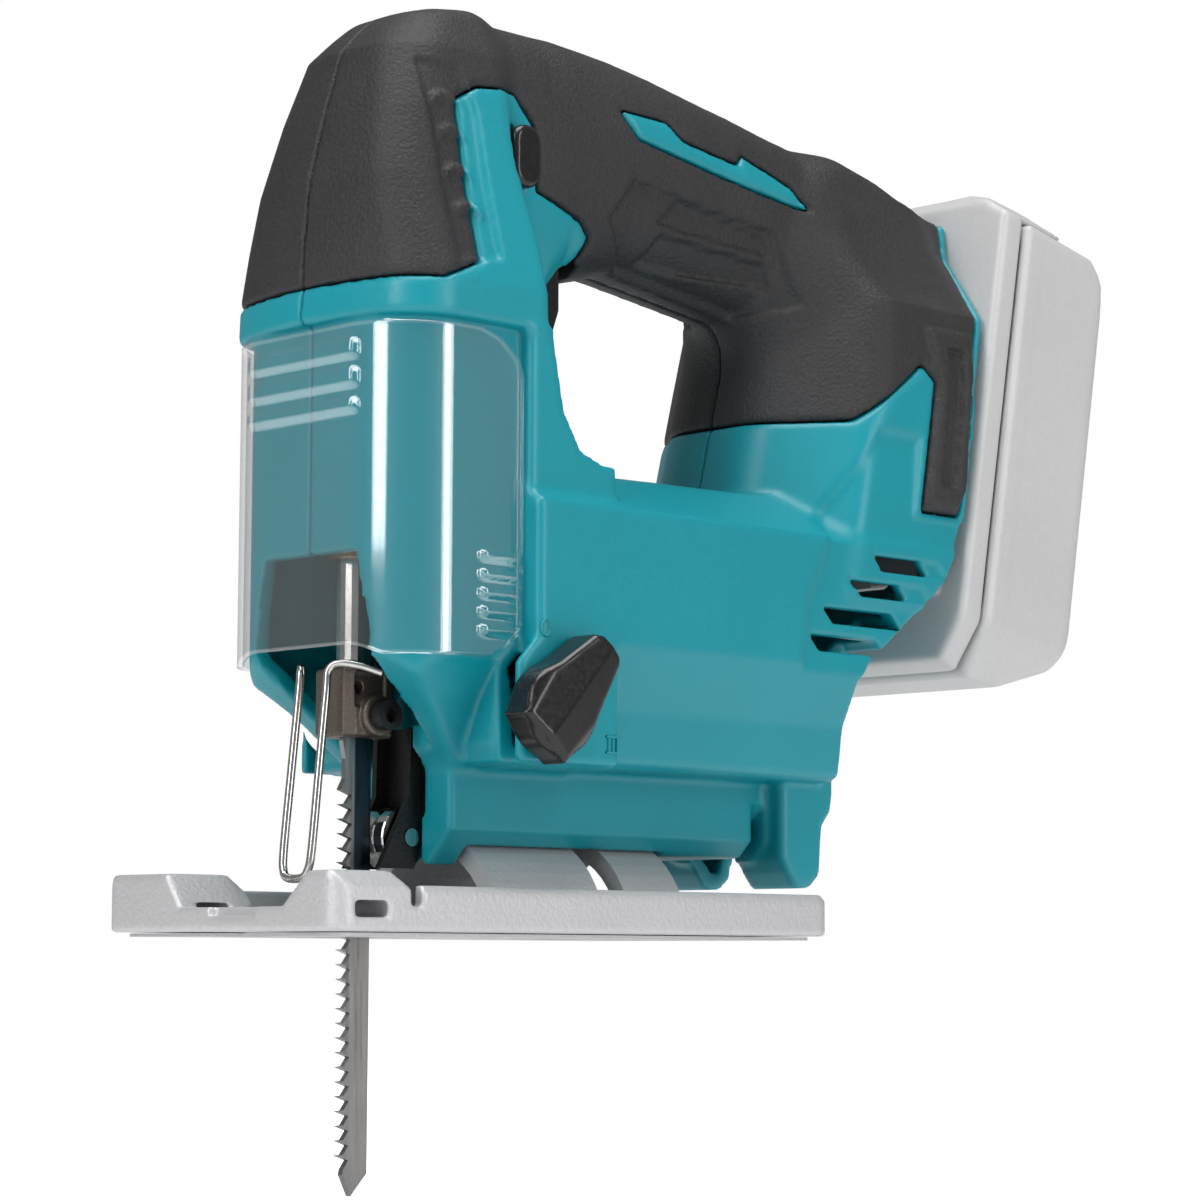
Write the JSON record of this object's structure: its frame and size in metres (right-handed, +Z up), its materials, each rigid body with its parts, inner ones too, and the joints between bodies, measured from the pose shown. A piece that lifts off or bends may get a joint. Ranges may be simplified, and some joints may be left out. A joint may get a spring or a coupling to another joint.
{
  "type": "cordless jigsaw",
  "caption": "D-handle cordless jigsaw: two-shell body with soft grip, clear dust cover, reciprocating blade in a clamp, guide roller, bevelling base and slide-on battery pack.",
  "frame": {"origin": "underside of the sole, at the middle of the base plate in plan", "axes": "+X from the blade towards the battery, +Y to the tool's right, +Z up from the work; the sole lies in the plane Z = 0 and the blade hangs below it"},
  "size_m": [0.2526, 0.0845, 0.2568],
  "materials": {
    "teal_plastic": "moulded, fine satin texture",
    "soft_black": "thermoplastic rubber overmould, fine stipple",
    "gloss_black": "polished moulding",
    "clear_plastic": "clear moulding",
    "pale_grey_plastic": "pale satin moulding",
    "cast_aluminium": "die cast, fine grain",
    "bright_steel": "ground and polished",
    "sintered_steel": "sintered, unpolished",
    "black_steel": "black oxide",
    "blade_steel": "punched and set, part painted",
    "copper_and_iron": "wound armature",
    "bronze": "sintered bronze",
    "circuit_board": "lacquered",
    "cell_wrap": "shrink wrapped"
  },
  "bodies": {
    "housing": {"housing_left": "teal_plastic", "housing_right": "teal_plastic", "grip_left": "soft_black", "grip_right": "soft_black", "wire_guard": "bright_steel", "gear_axle": "bright_steel", "gear_bearing": "bright_steel", "bearing_front": "bright_steel", "bearing_rear": "bright_steel", "motor_can": "black_steel", "rod_bush_upper": "bronze", "rod_bush_lower": "bronze", "switch_body": "gloss_black", "control_board": "circuit_board", "terminal_block": "gloss_black", "housing_screw_1": "black_steel", "housing_screw_2": "black_steel", "housing_screw_3": "black_steel", "housing_screw_4": "black_steel", "housing_screw_5": "black_steel", "housing_screw_6": "black_steel"},
    "plunger": {"plunger_rod": "bright_steel", "yoke": "sintered_steel", "blade_clamp": "sintered_steel", "blade": "blade_steel"},
    "clamp_screw": {"clamp_screw": "black_steel"},
    "rotor": {"armature": "copper_and_iron", "motor_shaft": "bright_steel", "motor_pinion": "sintered_steel", "cooling_fan": "gloss_black"},
    "crank": {"crank_gear": "sintered_steel", "crank_pin": "bright_steel"},
    "roller_arm": {"roller_holder": "black_steel", "roller_pin": "bright_steel"},
    "roller": {"guide_roller": "bright_steel"},
    "lever": {"change_lever": "gloss_black"},
    "base": {"base_plate": "cast_aluminium", "sole_plate": "black_steel", "base_mount": "cast_aluminium"},
    "base_bolt": {"base_bolt": "black_steel"},
    "battery": {"battery_lower_case": "pale_grey_plastic", "battery_upper_case": "pale_grey_plastic", "battery_contacts": "gloss_black", "battery_cell_1": "cell_wrap", "battery_cell_2": "cell_wrap", "battery_cell_3": "cell_wrap", "battery_cell_4": "cell_wrap", "battery_cell_5": "cell_wrap", "battery_cell_6": "cell_wrap", "battery_cell_7": "cell_wrap", "battery_cell_8": "cell_wrap", "battery_cell_9": "cell_wrap", "battery_cell_10": "cell_wrap"},
    "battery_release": {"battery_release": "pale_grey_plastic"},
    "trigger": {"trigger": "gloss_black"},
    "lock_off": {"lock_off_button": "gloss_black"},
    "dust_cover": {"dust_cover": "clear_plastic"}
  },
  "joints": [
    {"name": "plunger_slide", "type": "slide", "parent": "housing", "child": "plunger", "axis": [0, 0, 1], "range_m": [-0.003, 0.023]},
    {"name": "clamp_screw_turn", "type": "hinge", "parent": "plunger", "child": "clamp_screw", "pos_m": [-0.036, 0, 0.0464], "axis": [0, -1, 0], "continuous": true},
    {"name": "rotor_spin", "type": "hinge", "parent": "housing", "child": "rotor", "pos_m": [0.04, 0, 0.077], "axis": [1, 0, 0], "continuous": true},
    {"name": "crank_spin", "type": "hinge", "parent": "housing", "child": "crank", "pos_m": [-0.019, 0, 0.1045], "axis": [1, 0, 0], "continuous": true},
    {"name": "roller_arm_swing", "type": "hinge", "parent": "housing", "child": "roller_arm", "pos_m": [-0.02, 0, 0.0445], "axis": [0, -1, 0], "range_deg": [0, 4], "stiffness_Nm_per_rad": 0.05, "springref_deg": -5.73},
    {"name": "roller_spin", "type": "hinge", "parent": "roller_arm", "child": "roller", "pos_m": [-0.0254, 0, 0.0212], "axis": [0, -1, 0], "continuous": true},
    {"name": "lever_turn", "type": "hinge", "parent": "housing", "child": "lever", "pos_m": [-0.0165, -0.04, 0.047], "axis": [0, -1, 0], "range_deg": [-67, 33]},
    {"name": "base_bevel", "type": "hinge", "parent": "housing", "child": "base", "pos_m": [0, 0, 0], "axis": [1, 0, 0], "range_deg": [-45, 45]},
    {"name": "base_bolt_turn", "type": "hinge", "parent": "housing", "child": "base_bolt", "pos_m": [0.02, 0, 0.02], "axis": [0, 0, 1], "continuous": true},
    {"name": "battery_slide", "type": "slide", "parent": "housing", "child": "battery", "axis": [-0.1736, 0, -0.9848], "range_m": [0, 0.1]},
    {"name": "battery_release_press", "type": "slide", "parent": "battery", "child": "battery_release", "axis": [0.9848, 0, -0.1736], "range_m": [0, 0.0025], "stiffness_N_per_m": 500, "springref_m": -0.001},
    {"name": "trigger_press", "type": "hinge", "parent": "housing", "child": "trigger", "pos_m": [-0.001, 0, 0.159], "axis": [0, -1, 0], "range_deg": [0, 10], "stiffness_Nm_per_rad": 0.1, "springref_deg": -5.73},
    {"name": "lock_off_press", "type": "slide", "parent": "housing", "child": "lock_off", "axis": [0, 1, 0], "range_m": [0, 0.004], "stiffness_N_per_m": 400, "springref_m": -0.001},
    {"name": "dust_cover_slide", "type": "slide", "parent": "housing", "child": "dust_cover", "axis": [0, 0, -1], "range_m": [0, 0.02]}
  ],
  "couplings": [
    {"joint": "crank_spin", "follows": "rotor_spin", "ratio": -0.22222}
  ]
}
